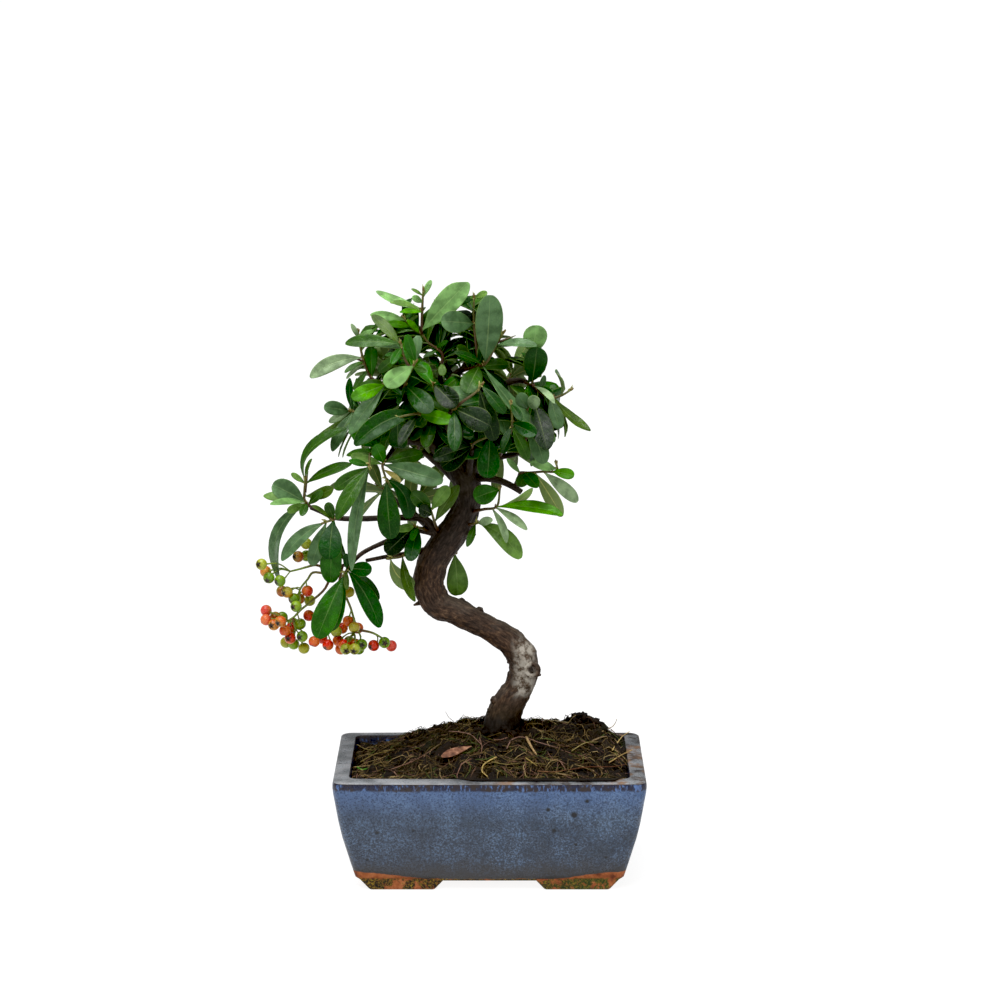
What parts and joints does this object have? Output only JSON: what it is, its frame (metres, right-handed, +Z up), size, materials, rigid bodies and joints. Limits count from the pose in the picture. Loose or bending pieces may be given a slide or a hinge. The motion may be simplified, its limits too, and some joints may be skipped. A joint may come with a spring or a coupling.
{
  "type": "narrowleaf firethorn bonsai",
  "caption": "Potted bonsai of narrowleaf firethorn with a curved trunk, narrow leaves and hanging bunches of ripening berries, in a glazed rectangular pot on corner feet.",
  "frame": {"origin": "on the ground, in the middle of the whole part as seen from above", "axes": "+Z up, the pot's long side along X, the viewed front towards -Y, the crown leans towards -X"},
  "size_m": [0.2254, 0.135, 0.3483],
  "materials": {
    "glazed_pot": "semi-gloss mottled blue-grey glaze over terracotta, bare at the feet",
    "bark": "rough brown bark with a greyish sheen",
    "soil": "matte dark soil with dead grass",
    "leaf": "glossy green, paler beneath",
    "berry": "smooth semi-gloss skin, green to orange-red",
    "dry_leaf": "dry brown leaf",
    "mesh_plastic": "dark plastic mesh"
  },
  "bodies": {
    "root": {"pot": "glazed_pot", "drain_screen_left": "mesh_plastic", "drain_screen_right": "mesh_plastic", "trunk": "bark", "soil": "soil", "fallen_leaf": "dry_leaf", "leaves_top": "leaf", "leaves_left_upper": "leaf", "leaves_left_middle": "leaf", "leaves_upper_middle": "leaf", "leaves_far_left_upper": "leaf", "leaves_left_outer": "leaf", "leaves_crown": "leaf", "leaves_right_upper": "leaf", "leaves_right_middle": "leaf", "leaves_right_inner": "leaf", "leaves_centre_upper": "leaf", "leaves_centre_lower": "leaf", "leaves_right": "leaf", "leaves_trunk_front_right": "leaf", "leaves_trunk_right": "leaf", "leaves_left_front": "leaf", "leaves_left_strap": "leaf", "leaves_far_left": "leaf", "leaves_left_hanging": "leaf", "leaves_low_left": "leaf", "leaves_trunk_upper": "leaf", "leaves_trunk_left": "leaf", "leaves_low_middle": "leaf", "leaves_behind_trunk": "leaf", "leaves_back_right": "leaf", "leaves_back_right_low": "leaf", "leaves_back_middle": "leaf", "leaves_back_left_top": "leaf", "leaves_back_top": "leaf", "leaves_back_left": "leaf", "leaves_inner_top": "leaf", "leaves_inner_left_top": "leaf", "leaves_inner_right_top": "leaf", "leaves_back_low": "leaf", "leaves_back_low_middle": "leaf", "leaves_back_far_right": "leaf", "leaves_back_centre": "leaf", "leaves_inner_right": "leaf", "leaves_inner_left": "leaf", "berries_far_left": "berry", "berries_left_middle": "berry", "berries_low_left": "berry", "berries_low_middle": "berry", "berries_right": "berry"}
  },
  "joints": []
}
